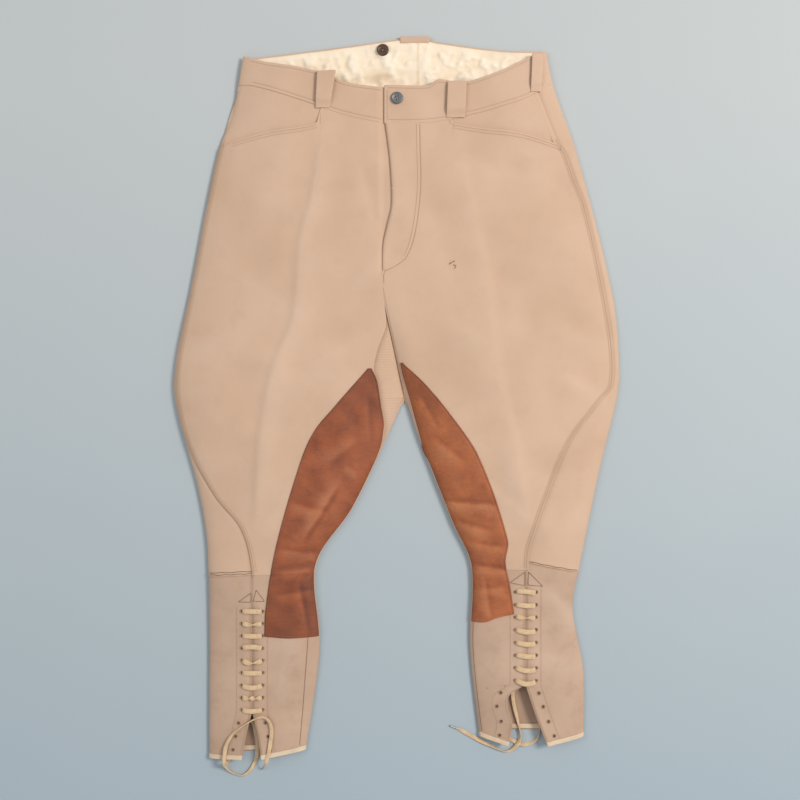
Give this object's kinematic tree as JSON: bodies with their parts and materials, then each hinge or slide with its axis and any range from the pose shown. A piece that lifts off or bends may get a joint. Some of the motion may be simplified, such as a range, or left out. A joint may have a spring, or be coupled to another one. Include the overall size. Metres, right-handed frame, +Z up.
{
  "type": "riding breeches",
  "caption": "Lace-up riding breeches lying flat, with a flared seat, a buttoned fly, slanted pockets, leather knee strappings and laced calves.",
  "frame": {"origin": "centre of the outline on the surface that the breeches lie on, laces left out", "axes": "+X to the wearer's left, +Y from the hems towards the waist, +Z up out of the front"},
  "size_m": [0.628, 1.0457, 0.0295],
  "materials": {
    "breeches_cloth": "matt tan cavalry cloth with faint wear",
    "calf_cloth": "matt tan cloth, slightly pinker and greyer",
    "cotton_lining": "matt cream cotton",
    "leather": "worn red-brown leather, creased and scuffed",
    "hem_tape": "matt cream cotton tape",
    "lace_cotton": "flat woven cream lace",
    "aglet_metal": "dull crimped metal",
    "button_metal": "worn pewter grey",
    "button_horn": "polished dark horn"
  },
  "bodies": {
    "seat": {"right_back_panel_seat": "breeches_cloth", "left_back_panel_seat": "breeches_cloth", "right_back_waistband": "breeches_cloth", "left_back_waistband": "breeches_cloth", "right_waistband_lining": "cotton_lining", "left_waistband_lining": "cotton_lining", "right_front_waistband": "breeches_cloth", "left_front_waistband": "breeches_cloth", "right_front_panel_seat": "breeches_cloth", "left_front_panel_seat": "breeches_cloth", "right_pocket_facing": "breeches_cloth", "left_pocket_facing": "breeches_cloth", "right_pocket_bag": "cotton_lining", "left_pocket_bag": "cotton_lining", "fly_extension": "breeches_cloth", "fly_button_1": "button_horn", "fly_button_2": "button_horn", "fly_button_3": "button_horn", "fly_button_4": "button_horn", "right_front_belt_loop": "breeches_cloth", "left_front_belt_loop": "breeches_cloth", "left_side_belt_loop": "breeches_cloth", "right_side_belt_loop": "breeches_cloth", "centre_back_belt_loop": "breeches_cloth", "right_strapping_top": "leather", "left_strapping_top": "leather"},
    "fly_flap": {"fly_flap": "breeches_cloth"},
    "waist_button": {"waist_button": "button_metal"},
    "brace_button": {"brace_button": "button_horn"},
    "right_thigh": {"right_front_panel_thigh": "breeches_cloth", "right_back_panel_thigh": "breeches_cloth", "right_strapping_thigh": "leather"},
    "right_calf": {"right_calf_outer_panel": "calf_cloth", "right_calf_inner_panel": "calf_cloth", "right_back_panel_calf": "calf_cloth", "right_strapping_calf": "leather", "right_outer_eyelet_facing": "calf_cloth", "right_inner_eyelet_facing": "calf_cloth", "right_outer_hem_tape": "hem_tape", "right_inner_hem_tape": "hem_tape", "right_lacing": "lace_cotton", "right_lace_tail": "lace_cotton", "right_lace_aglet": "aglet_metal", "right_lace_end": "lace_cotton"},
    "left_thigh": {"left_front_panel_thigh": "breeches_cloth", "left_back_panel_thigh": "breeches_cloth", "left_strapping_thigh": "leather"},
    "left_calf": {"left_calf_outer_panel": "calf_cloth", "left_calf_inner_panel": "calf_cloth", "left_back_panel_calf": "calf_cloth", "left_strapping_calf": "leather", "left_outer_eyelet_facing": "calf_cloth", "left_inner_eyelet_facing": "calf_cloth", "left_outer_hem_tape": "hem_tape", "left_inner_hem_tape": "hem_tape", "left_lacing": "lace_cotton", "left_lace_tail": "lace_cotton", "left_lace_aglet": "aglet_metal", "left_lace_end": "lace_cotton"}
  },
  "joints": [
    {"name": "right_hip_fold", "type": "hinge", "parent": "seat", "child": "right_thigh", "pos_m": [-0.15, 0, 0.0285], "axis": [-1, 0, 0], "range_deg": [0, 90]},
    {"name": "right_knee_fold", "type": "hinge", "parent": "right_thigh", "child": "right_calf", "pos_m": [-0.15, -0.247, 0.0235], "axis": [-1, 0, 0], "range_deg": [0, 120]},
    {"name": "left_hip_fold", "type": "hinge", "parent": "seat", "child": "left_thigh", "pos_m": [0.15, 0, 0.0285], "axis": [-1, 0, 0], "range_deg": [0, 90]},
    {"name": "left_knee_fold", "type": "hinge", "parent": "left_thigh", "child": "left_calf", "pos_m": [0.15, -0.24, 0.0235], "axis": [-1, 0, 0], "range_deg": [0, 120]},
    {"name": "fly_flap_lift", "type": "hinge", "parent": "seat", "child": "fly_flap", "pos_m": [0.02815, 0.31, 0.0245], "axis": [0, 1, 0], "range_deg": [0, 60]},
    {"name": "waist_button_turn", "type": "hinge", "parent": "seat", "child": "waist_button", "pos_m": [0, 0.419, 0.023], "axis": [0, 0, 1], "range_deg": [-45, 45]},
    {"name": "brace_button_turn", "type": "hinge", "parent": "seat", "child": "brace_button", "pos_m": [-0.02, 0.49, 0.006], "axis": [0, 0, 1], "range_deg": [-45, 45]}
  ]
}
